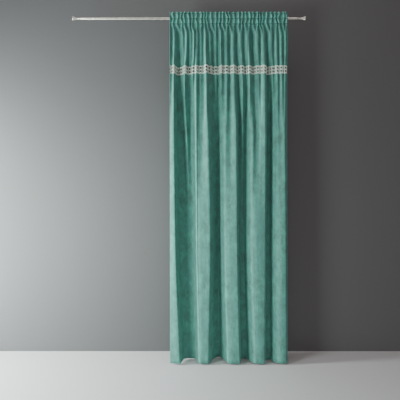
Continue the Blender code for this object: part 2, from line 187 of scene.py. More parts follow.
# One row for each line that runs down the folds. The three columns of x are millimetres from the
# curtain's left edge at the band, the knee and the hem. The three columns of depth are
# millimetres in front of the foremost plane there, so a trough is negative.
FOLD_LINES = (
    # name,            x band, knee, hem,  depth band, knee, hem
    ("left edge",           0,    0,    0,        -12,  -14,  -12),
    ("crest A",            28,   40,   72,          0,    0,    0),
    ("trough A left",      58,   70,  108,        -52,  -76,  -82),
    ("trough A right",     90,  126,  156,        -60,  -90,  -94),
    ("rib in A",          112,  156,  183,        -14,  -90,  -90),
    ("foot B",            146,  175,  194,        -50,  -84,  -76),
    ("shoulder B",        178,  189,  209,        -28,  -56,  -38),
    ("crease B",          203,  208,  227,         -2,   -8,   -4),
    ("dip B",             226,  240,  244,        -14,   -1,    0),
    ("crest B",           284,  304,  288,          7,    2,    0),
    ("trough C left",     324,  340,  334,        -34,  -58,  -82),
    ("trough C right",    372,  379,  380,        -44,  -88, -114),
    ("crease C",          390,  394,  412,        -10,  -44,  -80),
    ("crest C left",      428,  426,  446,         -1,   -6,   -6),
    ("dip C",             450,  466,  488,        -12,   -1,    0),
    ("crest C right",     503,  509,  528,          3,    1,    0),
    ("trough D left",     528,  536,  554,        -36,  -66,  -76),
    ("rib in D",          558,  556,  575,         -4,  -68,  -86),
    ("trough D right",    590,  576,  598,        -38,  -72,  -80),
    ("crease D",          608,  600,  622,         -8,  -26,  -34),
    ("crest D left",      634,  632,  656,         -4,   -4,   -2),
    ("dip D",             654,  662,  686,        -24,    0,    0),
    ("crest D right",     728,  722,  718,          3,   -3,   -2),
    ("trough E left",     754,  748,  744,        -42,  -62,  -64),
    ("trough E right",    774,  770,  776,        -52,  -68,  -72),
    ("crease E",          792,  802,  806,        -16,  -18,  -22),
    ("crest E left",      826,  836,  840,         -8,   -7,   -5),
    ("dip E",             842,  854,  862,         -9,   -5,   -3),
    ("crest E right",     868,  879,  883,         -3,   -5,   -4),
    ("right edge",        902,  902,  902,        -34,  -30,  -26),
)

# Creases pressed into the cloth beside a line of the table: how far beside it, the height at the
# band, the knee and the hem, and the half width, all in millimetres
CREASES = (
    # beside,     by, band, knee, hem, half width
    ("crease B",      -2, 8.0, 6.5, 1.0,  5.0),
    ("crest B",       -6, 6.0, 1.0, 0.0, 12.0),
    ("crease C",       2, 5.0, 4.0, 0.5,  5.0),
    ("crease D",       3, 5.0, 4.0, 0.5,  5.0),
    ("rib in A",       0, 4.0, 0.0, 0.0,  7.0),
    ("crest D right", -30, 3.0, 0.0, 0.0, 9.0),
)

# Fine mesh of the panel
PANEL_COLUMNS = 378
HEADING_ROW = 0.0025
HEADING_ROWS_BELOW_TAPE = 0.01
SHOULDER_ROW = 0.016
SHOULDER_ROWS_BELOW_LACE = 0.1
LOWER_ROW = 0.048
HEM_STEP = 0.001
HEM_ROWS = 3
SECTION_SAMPLES = 4000
LEAST_SPAN = 1e-6

# How much the folds may be deepened to use up the cloth, and in how many halvings that is found
DEEPEST_SCALE = 2.0
SCALE_STEPS = 30

# Painted shade: the velvet darkened under the lace and in broken rows along the cords
PAINTED_SHADE_FADE = 0.0055
CORD_SHADE_LEAST = 0.05
CORD_SHADE_MOST = 0.70
LACE_SHADE = 1.0
LACE_SHADE_EDGE = 0.006
CORD_SHADE_RANGE = (0.42, 0.62)

# Coordinates of the flat cloth that the materials use. The reverse side starts further along.
FLAT_MAP = "flat_cloth"
REVERSE_START = 10.0
REVERSE_BLEND = 0.01

# Patterns on the cloth, in blobs or threads a metre, along it and down it
CLOUD_SCALE = (20.0, 11.0)
PATCH_SCALE = (55.0, 38.0)
STREAK_SCALE = (190.0, 2.5)
HUE_SCALE = (7.0, 4.5)
PILE_SCALE = (1500.0, 1100.0)
STITCH_SCALE = (380.0, 260.0)
FIBRE_SCALE = (2600.0, 900.0)
LACE_WEAR_SCALE = (40.0, 40.0)
WEAVE_SCALE = (260.0, 260.0)
TAPE_WEAR_SCALE = (30.0, 30.0)
STITCH_WANDER = 1.2
THREAD_WANDER = 0.6

# Patterns on the metal, in blobs a metre along X, Y and Z
GRAIN_SCALE = (14.0, 1800.0, 1800.0)
HAZE_SCALE = (35.0, 60.0, 60.0)

# Parts of each pattern's range that count, and the most that each mixes in
PATCH_WEIGHT = 0.35
SHADE_RANGE = (0.46, 0.88)
GLOSS_RANGE = (0.47, 0.88)
HUE_RANGE = (0.35, 0.65)
BLUE_MOST = 0.5
STREAK_RANGE = (0.30, 0.70)
STREAK_MOST = 0.22
PILE_RANGE = (0.35, 0.65)
ROOT_MOST = 0.22
WEAR_RANGE = (0.35, 0.7)
LACE_WEAR_MOST = 0.35
TAPE_WEAR_MOST = 0.4
GRAIN_RANGE = (0.3, 0.7)
HAZE_RANGE = (0.4, 0.7)

# Roughness over those ranges
VELVET_ROUGHNESS = (0.92, 0.72)
METAL_ROUGHNESS = (0.18, 0.28)
HAZE_ROUGHNESS = (0.0, 0.06)
STAGE_ROUGHNESS = 0.6

# Heights of the fine relief, in metres
CLOUD_RELIEF = 0.0035
STREAK_RELIEF = 0.0004
PILE_RELIEF = 0.00025
STITCH_RELIEF = 0.0003
FIBRE_RELIEF = 0.0001
WEAVE_RELIEF = 0.0003
GRAIN_RELIEF = 0.000015

# Colours as linear red, green and blue
VELVET_DARK = (0.090, 0.190, 0.164)
VELVET_LIGHT = (0.113, 0.430, 0.344)
VELVET_BLUE = (0.100, 0.290, 0.266)
VELVET_ROOT = (0.070, 0.148, 0.128)
# Painted shade: near-black velvet laid under the lace and along the cords
VELVET_PAINTED_SHADE = (0.010, 0.036, 0.030)
VELVET_REVERSE = (0.085, 0.255, 0.215)
# The cotton's green tint is a painted reflection of the velvet; the cotton itself is off-white
COTTON_LIGHT = (0.92, 1.0, 0.91)
COTTON_SHADE = (0.70, 0.85, 0.75)
TAPE_LIGHT = (0.72, 0.73, 0.68)
TAPE_SHADE = (0.50, 0.51, 0.47)
METAL_LIGHT = (0.86, 0.85, 0.77)
METAL_SHADE = (0.68, 0.67, 0.60)
DAYLIGHT_COLOUR = (0.87, 1.0, 0.97)
FILL_COLOUR = (1.0, 0.96, 0.93)
WHITE = (1.0, 1.0, 1.0)
SURROUND_COLOUR = (1.0, 0.90, 0.90)
SURROUND_STRENGTH = 0.34
WALL_GREY = (0.108, 0.106, 0.109)
FLOOR_GREY = (0.72, 0.69, 0.70)

# Camera: as far from the cloth as the fold of the hem in the photograph tells
CAMERA_DISTANCE = 2.80
METRES_PER_PIXEL = 0.007604
IMAGE_WIDTH = 400
CURTAIN_CENTRE_PIXEL = 229.25
HEM_PIXEL = 364.0
FRONT_OF_HEM = -0.066
SENSOR = 36.0
FLOOR_BELOW_HEM = 0.012
STAGE_HALF_WIDTH = 6.0
WALL_DISTANCE = 0.20

# Soft lights, with places and sizes in metres and power in watts
CURTAIN_MIDDLE = (CURTAIN_CENTRE, 0.0, 0.5 * (TOP + HEM))
ROD_MIDDLE = (0.0, 0.0, 0.0)
LIGHTS = (
    # name,           place,                facing,         size,        power, colour
    ("daylight",      (-1.9, -1.70, -1.75), CURTAIN_MIDDLE, (0.8, 1.50),  74.0, DAYLIGHT_COLOUR),
    ("daylight_side", (-2.4, -0.42, -1.55), CURTAIN_MIDDLE, (0.4, 2.00), 134.0, DAYLIGHT_COLOUR),
    ("front_fill",    (0.5, -3.20, -1.80),  CURTAIN_MIDDLE, (1.2, 1.20),   9.0, FILL_COLOUR),
    ("above",         (0.0, -0.55, 0.95),   ROD_MIDDLE,     (2.6, 0.22),   3.2, WHITE),
)


def smooth_step(start, end, value):
    """0 at start, 1 at end, with an even ease between them."""
    t = np.clip((value - start) / (end - start), 0.0, 1.0)
    return t * t * (3.0 - 2.0 * t)


def smooth_curve(knots, heights, places):
    """A curve through the knots that never swings past them."""
    step = np.diff(knots)
    slope = np.diff(heights) / step
    tangent = np.zeros(len(knots))
    product = slope[:-1] * slope[1:]
    total = np.where(product > 0, slope[:-1] + slope[1:], 1.0)
    tangent[1:-1] = np.where(product > 0, 2.0 * product / total, 0.0)
    tangent[0] = slope[0]
    tangent[-1] = slope[-1]
    left = np.clip(np.searchsorted(knots, places) - 1, 0, len(step) - 1)
    t = (places - knots[left]) / step[left]
    rise = heights[left + 1] - heights[left]
    return (heights[left] + rise * t * t * (3.0 - 2.0 * t)
            + step[left] * t * (1.0 - t) * (tangent[left] * (1.0 - t) - tangent[left + 1] * t))


def fold_knots(z):
    """Places and depths of the fold lines at height z, in metres."""
    x_rows = np.array([row[1:4] for row in FOLD_LINES]) / MM_PER_METRE
    depth_rows = np.array([row[4:7] for row in FOLD_LINES]) / MM_PER_METRE
    levels = np.array(FOLD_LEVELS)
    level = np.array([min(max(z, HEM), BAND_LEVEL)])
    places = [smooth_curve(levels, row[::-1], level)[0] for row in x_rows]
    depths = [smooth_curve(levels, row[::-1], level)[0] for row in depth_rows]
    return np.array(places), np.array(depths)


def ridge_wave(x, crests, heights, levels, grooves):
    """A wave from its crests' places and heights, and the levels and shapes of the grooves."""
    left = np.clip(np.searchsorted(crests, x) - 1, 0, len(crests) - 2)
    spans = np.maximum(np.diff(crests), LEAST_SPAN)
    t = np.clip((x - crests[left]) / spans[left], 0.0, 1.0)
    along = 0.5 - 0.5 * np.cos(math.pi * t)
    crest_line = heights[left] + np.diff(heights)[left] * along
    groove = (0.5 - 0.5 * np.cos(2.0 * math.pi * t)) ** grooves[left]
    wave = crest_line + (levels[left] - crest_line) * groove
    return wave - 0.5 * (wave.max() + wave.min())


def cord_shifts(z):
    """Sideways shift of each pleat, in pitches, which zigzags from one cord to the next."""
    dice = random.Random(PUCKER_SEED)
    heights = [TAPE_BOTTOM - ZIGZAG_BELOW_TAPE, *CORD_HEIGHTS[::-1], TOP + ZIGZAG_ABOVE_TOP]
    count = PLEAT_COUNT + 2
    rows = [[dice.uniform(-CORD_SHIFT, CORD_SHIFT) for _ in range(count)] for _ in heights]
    rows[0] = [0.0] * count
    return np.array([np.interp(z, heights, column) for column in zip(*rows)])


def pleat_crests(z, width):
    """Places and heights of the pencil pleats' crests at height z."""
    dice = random.Random(PLEAT_SEED)
    pitch = width / PLEATS_ACROSS
    crests = []
    heights = []
    for j in range(-1, PLEAT_COUNT + 1):
        place = j + FIRST_CREST + PLEAT_JITTER * dice.uniform(-1.0, 1.0)
        sway = dice.uniform(0.0, 2.0 * math.pi) + 2.0 * math.pi * z / PLEAT_SWAY_PITCH
        crests.append(place * pitch + PLEAT_SWAY * math.sin(sway))
        heights.append(PLEAT_DEPTH * (1.0 + PLEAT_UNEVENNESS * dice.uniform(-1.0, 1.0)))
    return np.array(crests) + cord_shifts(z) * pitch, np.array(heights)


def gathered_wave(x, z, width):
    """Depth at height z of the pleats, and of the gathers that they join in below the heading."""
    at_shoulder, at_band, shares, grooves, pleats = np.array(GATHERS).T
    own = np.repeat(np.arange(len(GATHERS)), pleats.astype(int))
    down = smooth_step(SHOULDER_LEVEL, BAND_LEVEL, z)
    gathers = (at_shoulder + (at_band - at_shoulder) * down)[own] / MM_PER_METRE
    fronts = GATHER_DEPTH * shares[own]
    joined = smooth_step(PLEAT_END, GATHERS_FULL, z)
    crests, heights = pleat_crests(z, width)
    crests += (gathers - crests) * joined
    heights += (fronts - heights) * joined
    levels = joined * (0.5 * (fronts[:-1] + fronts[1:]) - GROOVE_DEPTH * np.diff(gathers))
    narrow = PLEAT_GROOVE + joined * (grooves[own[:-1]] - PLEAT_GROOVE)
    return ridge_wave(x, crests, heights, levels, narrow)


def stiffened(z):
    """The height whose folds the cloth has at z: the lace keeps them in one shape along it."""
    half = 0.5 * (BAND_TOP - BAND_BOTTOM)
    heights = (BELOW_LACE, BAND_BOTTOM, BAND_TOP, ABOVE_LACE)
    return z + np.interp(z, heights, (0.0, half, -half, 0.0))


def section(z):
    """The cloth's curve at height z: places along X from its left edge, and depths to the front.

    Pleats join into gathers below the heading, and these fade into folds. All are deepened alike
    until the curve is as long as the flat cloth is wide.
    """
    z = stiffened(z)
    width = HEADING_WIDTH + (HEM_WIDTH - HEADING_WIDTH) * (TOP - z) / LENGTH
    x = np.linspace(0.0, width, SECTION_SAMPLES)
    knots, depths = fold_knots(z)
    folds = smooth_curve(knots * width / HEM_WIDTH, depths, x)
    gather_share = 1.0 - smooth_step(GATHERS_WEAKER, GATHERS_FADED, z)
    fold_share = smooth_step(FOLDS_START, FOLDS_FULL, z)
    shape = gather_share * gathered_wave(x, z, width) + fold_share * (folds - folds.mean())
    low, high = 0.0, DEEPEST_SCALE
    for _ in range(SCALE_STEPS):
        scale = 0.5 * (low + high)
        cloth = np.hypot(np.diff(x), scale * np.diff(shape)).sum()
        low, high = (scale, high) if cloth < FLAT_WIDTH else (low, scale)
    return x, scale * shape


def creases(x, z):
    """Depth that the creases add along x at height z."""
    knots, depths = fold_knots(z)
    names = [row[0] for row in FOLD_LINES]
    level = np.array([min(max(z, HEM), BAND_LEVEL)])
    start = smooth_step(PLEAT_END, ABOVE_LACE, z)
    added = np.zeros(len(x))
    for beside, by, at_band, at_knee, at_hem, half_width in CREASES:
        height = smooth_curve(np.array(FOLD_LEVELS), np.array([at_hem, at_knee, at_band]), level)[0]
        place = knots[names.index(beside)] + by / MM_PER_METRE
        bell = np.exp(-((x - place) * MM_PER_METRE / half_width) ** 2)
        added += start * height / MM_PER_METRE * bell
    return added


def hang_line():
    """Y of the cloth's mean plane: its pleats just clear the front of the rod at every height."""
    places = []
    for z in np.linspace(-ROD_RADIUS, ROD_RADIUS, ROD_LEVELS):
        rod_front = math.sqrt(max(ROD_RADIUS ** 2 - z ** 2, 0.0))
        behind = ROD_CLEARANCE + 0.5 * CLOTH_THICKNESS + HEM_LAYER
        places.append(section(z)[1].min() - (rod_front + behind))
    return min(places)


HANG_LINE = hang_line()


def cloth_row(z, columns):
    """Points of the cloth's middle at height z, evenly spaced along the cloth."""
    x, depth = section(z)
    depth = depth + creases(x, stiffened(z))
    run = np.concatenate(([0.0], np.cumsum(np.hypot(np.diff(x), np.diff(depth)))))
    stops = np.linspace(0.0, run[-1], columns + 1)
    left = CURTAIN_CENTRE - 0.5 * x[-1]
    row = np.empty((columns + 1, 3))
    row[:, 0] = left + np.interp(stops, run, x)
    row[:, 1] = HANG_LINE - np.interp(stops, run, depth)
    row[:, 2] = z
    return row


def grid_normals(grid):
    """Unit normals of a grid of points, pointing to the front. Rows run down, columns right."""
    along = np.gradient(grid, axis=1)
    down = np.gradient(grid, axis=0)
    normals = np.cross(down, along)
    return normals / np.linalg.norm(normals, axis=2, keepdims=True)


def row_heights():
    """Heights of the panel's rows, close in the heading and wider below."""
    heights = list(np.arange(TOP, TAPE_BOTTOM - HEADING_ROWS_BELOW_TAPE, -HEADING_ROW))
    shoulder_end = BAND_BOTTOM - SHOULDER_ROWS_BELOW_LACE
    heights += list(np.arange(heights[-1] - HEADING_ROW, shoulder_end, -SHOULDER_ROW))
    hem_line = HEM + BOTTOM_HEM
    count = round((heights[-1] - hem_line) / LOWER_ROW)
    heights += list(np.linspace(heights[-1], hem_line, count + 1)[1:])
    heights += [hem_line - HEM_STEP]
    heights += list(np.linspace(hem_line - HEM_STEP, HEM, HEM_ROWS + 1)[1:])
    return heights


def placed(name, data):
    """A new object in the scene."""
    obj = bpy.data.objects.new(name, data)
    bpy.context.scene.collection.objects.link(obj)
    return obj


def add_flat_map(mesh, places):
    """Give each point its place on the flat cloth, in metres."""
    corners = np.empty(len(mesh.loops), dtype=int)
    mesh.loops.foreach_get("vertex_index", corners)
    layer = mesh.uv_layers.new(name=FLAT_MAP)
    layer.data.foreach_set("uv", places[corners].astype(np.float32).ravel())


def sheet_mesh(name, grid, normals, front, back):
    """A closed sheet: the grid moved along its normals by front and by back, joined at the rim."""
    rows, columns = grid.shape[:2]
    outer = (grid + normals * front[..., None]).reshape(-1, 3)
    inner = (grid + normals * back[..., None]).reshape(-1, 3)
    index = np.arange(rows * columns).reshape(rows, columns)
    quads = np.stack([index[:-1, :-1], index[1:, :-1], index[1:, 1:], index[:-1, 1:]], axis=2)
    faces = quads.reshape(-1, 4)
    back_faces = faces[:, ::-1] + rows * columns
    rim = np.concatenate([index[0, :], index[1:, -1], index[-1, -2::-1], index[-2:0:-1, 0]])
    following = np.roll(rim, -1)
    walls = np.stack([rim, following, following + rows * columns, rim + rows * columns], axis=1)
    mesh = bpy.data.meshes.new(name)
    points = np.concatenate([outer, inner])
    mesh.from_pydata(points.tolist(), [], np.concatenate([faces, back_faces, walls]).tolist())
    mesh.update()
    mesh.shade_smooth()
    run = np.broadcast_to(np.linspace(0.0, FLAT_WIDTH, columns)[None, :], (rows, columns))
    flat = np.stack([run, grid[..., 2]], axis=2).reshape(-1, 2)
    add_flat_map(mesh, np.concatenate([flat, flat + (REVERSE_START, 0.0)]))
    return placed(name, mesh)


def pucker(grid):
    """Pull the pleats' crests in at the cords, each by its own amount and a little off the cord."""
    dice = np.random.default_rng(PUCKER_SEED)
    front = grid[..., 1].min(axis=1, keepdims=True)
    rear = grid[..., 1].max(axis=1, keepdims=True)
    crest = (rear - grid[..., 1]) / (rear - front)
    places = np.linspace(0.0, PUCKERS_PER_PLEAT * PLEAT_COUNT, grid.shape[1])
    knots = np.arange(PUCKERS_PER_PLEAT * PLEAT_COUNT + 1)
    for height in CORD_HEIGHTS:
        share = np.interp(places, knots, dice.uniform(PUCKER_LEAST, PUCKER_MOST, len(knots)))
        wander = np.interp(places, knots, dice.uniform(-PUCKER_WANDER, PUCKER_WANDER, len(knots)))
        pull = np.exp(-((grid[..., 2] - height - wander) / PUCKER_HALF_HEIGHT) ** 2)
        grid[..., 1] += PUCKER_DEPTH * pull * share * crest


def panel_layers(grid):
    """How far the panel's front and back lie from its middle, with its hems a layer thicker."""
    rows, columns = grid.shape[:2]
    front = np.full((rows, columns), 0.5 * CLOTH_THICKNESS)
    back = np.full((rows, columns), -0.5 * CLOTH_THICKNESS)
    run = np.linspace(0.0, FLAT_WIDTH, columns)
    back[:, (run < SIDE_HEM) | (run > FLAT_WIDTH - SIDE_HEM)] -= HEM_LAYER
    back[grid[:, 0, 2] < HEM + BOTTOM_HEM - 0.5 * HEM_STEP] -= HEM_LAYER
    return front, back


def build_panel(material):
    """The velvet on its folds."""
    heights = row_heights()
    grid = np.stack([cloth_row(z, PANEL_COLUMNS) for z in heights])
    pucker(grid)
    front, back = panel_layers(grid)
    panel = sheet_mesh("velvet_panel", grid, grid_normals(grid), front, back)
    panel.data.materials.append(material)
    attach(panel, "root")
    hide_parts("panel")
    return panel


def tube_parts(path, half_width, half_thickness, lift, closed):
    """Points (along, up, out) and faces of a flattened strand on the lace's plane."""
    path = np.array(path)
    if closed:
        ahead = np.roll(path, -1, axis=0) - np.roll(path, 1, axis=0)
    else:
        ahead = np.gradient(path, axis=0)
    ahead /= np.linalg.norm(ahead, axis=1, keepdims=True)
    side = np.stack([-ahead[:, 1], ahead[:, 0]], axis=1)
    turns = 2.0 * math.pi * np.arange(STRAND_SIDES) / STRAND_SIDES
    across = half_width * np.cos(turns)
    out = lift + half_thickness * np.sin(turns)
    flat = path[:, None, :] + side[:, None, :] * across[None, :, None]
    out = np.broadcast_to(out[None, :, None], flat.shape[:2] + (1,))
    points = np.concatenate([flat, out], axis=2)
    run = np.concatenate(([0.0], np.cumsum(np.linalg.norm(np.diff(path, axis=0), axis=1))))
    thread = np.stack(np.broadcast_arrays(run[:, None], across[None, :]), axis=2)
    faces = []
    count = len(path)
    for i in range(count if closed else count - 1):
        for k in range(STRAND_SIDES):
            a = i * STRAND_SIDES + k
            b = i * STRAND_SIDES + (k + 1) % STRAND_SIDES
            c = ((i + 1) % count) * STRAND_SIDES + (k + 1) % STRAND_SIDES
            d = ((i + 1) % count) * STRAND_SIDES + k
            faces.append((a, b, c, d))
    if not closed:
        faces.append(tuple(range(STRAND_SIDES))[::-1])
        faces.append(tuple((count - 1) * STRAND_SIDES + k for k in range(STRAND_SIDES)))
    return points.reshape(-1, 3), thread.reshape(-1, 2), faces


def ellipse(centre, across, up, steps):
    """Points round an ellipse."""
    turns = 2.0 * math.pi * np.arange(steps) / steps
    return np.stack([centre[0] + across * np.cos(turns), centre[1] + up * np.sin(turns)], axis=1)


def straight(start, end):
    """Points along a straight strand."""
    t = np.linspace(0.0, 1.0, STRAND_STEPS + 1)[:, None]
    return np.array(start) * (1.0 - t) + np.array(end) * t


def lace_repeat():
    """The strands of one repeat: diamonds round two holes, and edges pointing out between them."""
    half = 0.5 * REPEAT
    strands = []
    for side in (1.0, -1.0):
        for end in (0.0, REPEAT):
            between = (end, side * HOLE_ROW)
            outer = (half, side * OUTER_NODE)
            for start, stop, half_width in (((half, 0.0), between, STRAND_HALF_WIDTH),
                                            (between, outer, STRAND_HALF_WIDTH),
                                            (outer, (end, side * TIP_HEIGHT), EDGE_HALF_WIDTH)):
                strands.append((straight(start, stop), half_width, LACE_HALF_THICKNESS, False))
        strands.append(bead((half, side * OUTER_NODE)))
    strands.append(bead((half, 0.0)))
    return strands


def bead(centre):
    """A raised round knot of thread."""
    return (ellipse(centre, 0.5 * BEAD_RADIUS, 0.5 * BEAD_RADIUS, BEAD_STEPS), 0.5 * BEAD_RADIUS,
            BEAD_SWELL * LACE_HALF_THICKNESS, True)


def lace_knots():
    """The rings, knots and picots on the line between two repeats."""
    strands = []
    for height in (OUTER_NODE, 0.0, -OUTER_NODE):
        ring = ellipse((0.0, height), RING_RADIUS, RING_RADIUS, RING_STEPS)
        strands.append((ring, RING_HALF_WIDTH, LACE_HALF_THICKNESS, True))
    for side in (1.0, -1.0):
        strands.append(bead((0.0, side * HOLE_ROW)))
        picot = ellipse((0.0, side * TIP_HEIGHT), PICOT_RADIUS, PICOT_RADIUS, BEAD_STEPS)
        strands.append((picot, PICOT_HALF_WIDTH, LACE_HALF_THICKNESS, True))
    return strands


def merged(parts):
    """Parts, each of points, threads and faces, as one."""
    faces = []
    start = 0
    for points, _, part_faces in parts:
        faces += [tuple(start + i for i in face) for face in part_faces]
        start += len(points)
    all_points, all_threads, _ = zip(*parts)
    return np.concatenate(all_points), np.concatenate(all_threads), faces


def woven(strands):
    """All the strands as one part."""
    return merged([tube_parts(path, half_width, half_thickness, LACE_LIFT, closed)
                   for path, half_width, half_thickness, closed in strands])


def on_band(flat):
    """Points (along, up, out) of the lace laid on the cloth's folds."""
    middle = 0.5 * (BAND_TOP + BAND_BOTTOM)
    row = cloth_row(middle, LACE_STOPS)
    ahead = np.gradient(row[:, :2], axis=0)
    ahead /= np.linalg.norm(ahead, axis=1, keepdims=True)
    run = np.linspace(0.0, FLAT_WIDTH, len(row))
    along = np.clip(flat[:, 0], 0.0, FLAT_WIDTH)
    place = np.stack([np.interp(along, run, row[:, k]) for k in (0, 1)], axis=1)
    normal_x = np.interp(along, run, ahead[:, 1])
    normal_y = -np.interp(along, run, ahead[:, 0])
    place += np.stack([normal_x, normal_y], axis=1) * flat[:, 2:3]
    return np.column_stack([place, middle + flat[:, 1]])


def build_lace(material):
    """The lace band: openwork strands, repeated along the cloth."""
    repeat = woven(lace_repeat())
    knots = woven(lace_knots())
    tiles = [(*repeat, i) for i in range(REPEATS)] + [(*knots, i) for i in range(1, REPEATS)]
    points, threads, faces = merged([(part + np.array([i * REPEAT, 0.0, 0.0]), thread, part_faces)
                                     for part, thread, part_faces, i in tiles])
    mesh = bpy.data.meshes.new("lace_trim")
    mesh.from_pydata(on_band(points).tolist(), [], faces)
    mesh.update()
    mesh.shade_smooth()
    add_flat_map(mesh, threads)
    mesh.materials.append(material)
    lace = placed("lace_trim", mesh)
    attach(lace, "root")
    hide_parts("lace_band")
    return lace


def tape_grid():
    """Middle of the tape: sewn to the cloth along its edges, and round the back of the rod."""
    count = round((TAPE_TOP - TAPE_BOTTOM) / TAPE_ROW)
    heights = np.linspace(TAPE_TOP, TAPE_BOTTOM, count + 1)
    grid = np.stack([cloth_row(z, TAPE_COLUMNS) for z in heights])
    pucker(grid)
    seam = 0.5 * CLOTH_THICKNESS + SEAM_GAP + 0.5 * TAPE_THICKNESS
    grid -= grid_normals(grid) * seam
    foremost = grid[np.abs(heights).argmin(), :, 1].min()
    knots = np.array([TAPE_BOTTOM, -TAPE_SHOULDER, 0.0, TAPE_SHOULDER, TAPE_TOP])
    backs = np.array([0.0, TAPE_BESIDE_ROD - foremost, TAPE_BEHIND_ROD - foremost,
                      TAPE_BESIDE_ROD - foremost, 0.0])
    grid[..., 1] += smooth_curve(knots, backs, heights)[:, None]
    return grid, heights


def build_tape(material):
    """The gathering tape with its three draw cords."""
    grid, heights = tape_grid()
    half = np.full(grid.shape[:2], 0.5 * TAPE_THICKNESS)
    tape = sheet_mesh("gathering_tape", grid, grid_normals(grid), half, -half)
    tape.data.materials.append(material)
    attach(tape, "root")
    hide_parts("heading_tape")
    cords = build_cords(grid, heights, material)
    return tape


def build_cords(grid, heights, material):
    """Three cords threaded through the backs of the tape's gathers, knotted at both ends."""
    points = []
    faces = []
    turns = 2.0 * math.pi * np.arange(CORD_SIDES) / CORD_SIDES
    for height in CORD_HEIGHTS:
        row = grid[np.abs(heights - height).argmin()]
        left, right = row[:, 0].min() + CORD_INSET, row[:, 0].max() - CORD_INSET
        line_x = np.linspace(left, right, CORD_STEPS)
        line_y = row[:, 1].max()
        start = len(points)
        for i, x in enumerate(line_x):
            from_end = min(i, CORD_STEPS - 1 - i)
            radius = CORD_RADIUS * {0: CORD_TIP, 1: KNOT_SWELL}.get(from_end, 1.0)
            points += [(x, line_y + radius * math.cos(t), height + radius * math.sin(t))
                       for t in turns]
        for i in range(CORD_STEPS - 1):
            for k in range(CORD_SIDES):
                a = start + i * CORD_SIDES + k
                b = start + i * CORD_SIDES + (k + 1) % CORD_SIDES
                faces.append((a, a + CORD_SIDES, b + CORD_SIDES, b))
        faces.append(tuple(range(start, start + CORD_SIDES)))
        faces.append(tuple(range(len(points) - 1, len(points) - 1 - CORD_SIDES, -1)))
    mesh = bpy.data.meshes.new("draw_cords")
    mesh.from_pydata(points, [], faces)
    mesh.update()
    mesh.shade_smooth()
    mesh.materials.append(material)
    cords = placed("draw_cords", mesh)
    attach(cords, "root")
    return cords


def principled(name):
    """A new material and its nodes, links and shader."""
    material = bpy.data.materials.new(name)
    material.use_nodes = True
    nodes = material.node_tree.nodes
    return material, nodes, material.node_tree.links, nodes["Principled BSDF"]


def scaled_place(nodes, links, place, scale):
    """The place, multiplied along each of its axes."""
    scaled = nodes.new("ShaderNodeVectorMath")
    scaled.operation = "MULTIPLY"
    scaled.inputs[1].default_value = scale
    links.new(place, scaled.inputs[0])
    return scaled.outputs["Vector"]


def flat_place(nodes, links, along, down):
    """Place on the flat cloth, multiplied along it and down it."""
    flat_map = nodes.new("ShaderNodeUVMap")
    flat_map.uv_map = FLAT_MAP
    return scaled_place(nodes, links, flat_map.outputs["UV"], (along, down, 1.0))


def noise(nodes, links, place, detail, roughness=0.5):
    """Noise of about one blob a unit at the place."""
    texture = nodes.new("ShaderNodeTexNoise")
    texture.inputs["Scale"].default_value = 1.0
    texture.inputs["Detail"].default_value = detail
    texture.inputs["Roughness"].default_value = roughness
    links.new(place, texture.inputs["Vector"])
    return texture.outputs["Fac"]


def waves(nodes, links, place, direction, distortion):
    """Rows of thread across the direction, one a unit, a little uneven."""
    texture = nodes.new("ShaderNodeTexWave")
    texture.bands_direction = direction
    texture.inputs["Scale"].default_value = 1.0
    texture.inputs["Distortion"].default_value = distortion
    texture.inputs["Detail"].default_value = 1.0
    links.new(place, texture.inputs["Vector"])
    return texture.outputs["Fac"]


def ranged(nodes, links, value, start, end, low, high):
    """The value's range from start to end, turned into low to high and kept inside it."""
    node = nodes.new("ShaderNodeMapRange")
    node.inputs["From Min"].default_value = start
    node.inputs["From Max"].default_value = end
    node.inputs["To Min"].default_value = low
    node.inputs["To Max"].default_value = high
    links.new(value, node.inputs["Value"])
    return node.outputs["Result"]


def calculated(nodes, links, operation, first, second):
    """A sum, product or the like of two values, each a socket or a number."""
    node = nodes.new("ShaderNodeMath")
    node.operation = operation
    for socket, value in zip(node.inputs, (first, second)):
        if isinstance(value, float):
            socket.default_value = value
        else:
            links.new(value, socket)
    return node.outputs["Value"]


def blended(nodes, links, share, first, second):
    """A colour between two colours, each a socket or red, green and blue."""
    node = nodes.new("ShaderNodeMix")
    node.data_type = "RGBA"
    links.new(share, node.inputs["Factor"])
    for name, value in (("A", first), ("B", second)):
        socket = [i for i in node.inputs if i.name == name and i.type == "RGBA"][0]
        if isinstance(value, tuple):
            socket.default_value = (*value, 1.0)
        else:
            links.new(value, socket)
    return [o for o in node.outputs if o.type == "RGBA"][0]


def bumped(nodes, links, height, distance, below=None):
    """A normal raised by height, on top of the normal below."""
    node = nodes.new("ShaderNodeBump")
    node.inputs["Strength"].default_value = 1.0
    node.inputs["Distance"].default_value = distance
    links.new(height, node.inputs["Height"])
    if below is not None:
        links.new(below, node.inputs["Normal"])
    return node.outputs["Normal"]


def painted_shade_share(nodes, links, place, front, patches):
    """How much painted shade darkens the velvet: in broken rows along the cords, and under the
    lace.
    """
    cord_shade = ranged(nodes, links, patches, *CORD_SHADE_RANGE, CORD_SHADE_LEAST, CORD_SHADE_MOST)
    share = None
    lace = (0.5 * (BAND_TOP + BAND_BOTTOM), 0.5 * (BAND_TOP - BAND_BOTTOM) - LACE_SHADE_EDGE)
    for level, reach in ((lace,) + tuple((cord, 0.0) for cord in CORD_HEIGHTS)):
        gap = calculated(nodes, links, "SUBTRACT", place.outputs["Y"], level)
        gap = calculated(nodes, links, "ABSOLUTE", gap, 0.0)
        near = ranged(nodes, links, gap, reach, reach + PAINTED_SHADE_FADE, 1.0, 0.0)
        if share is None:
            share = calculated(nodes, links, "MULTIPLY", near, LACE_SHADE)
        else:
            row = calculated(nodes, links, "MULTIPLY", near, cord_shade)
            share = calculated(nodes, links, "MAXIMUM", share, row)
    return calculated(nodes, links, "MULTIPLY", share, front)


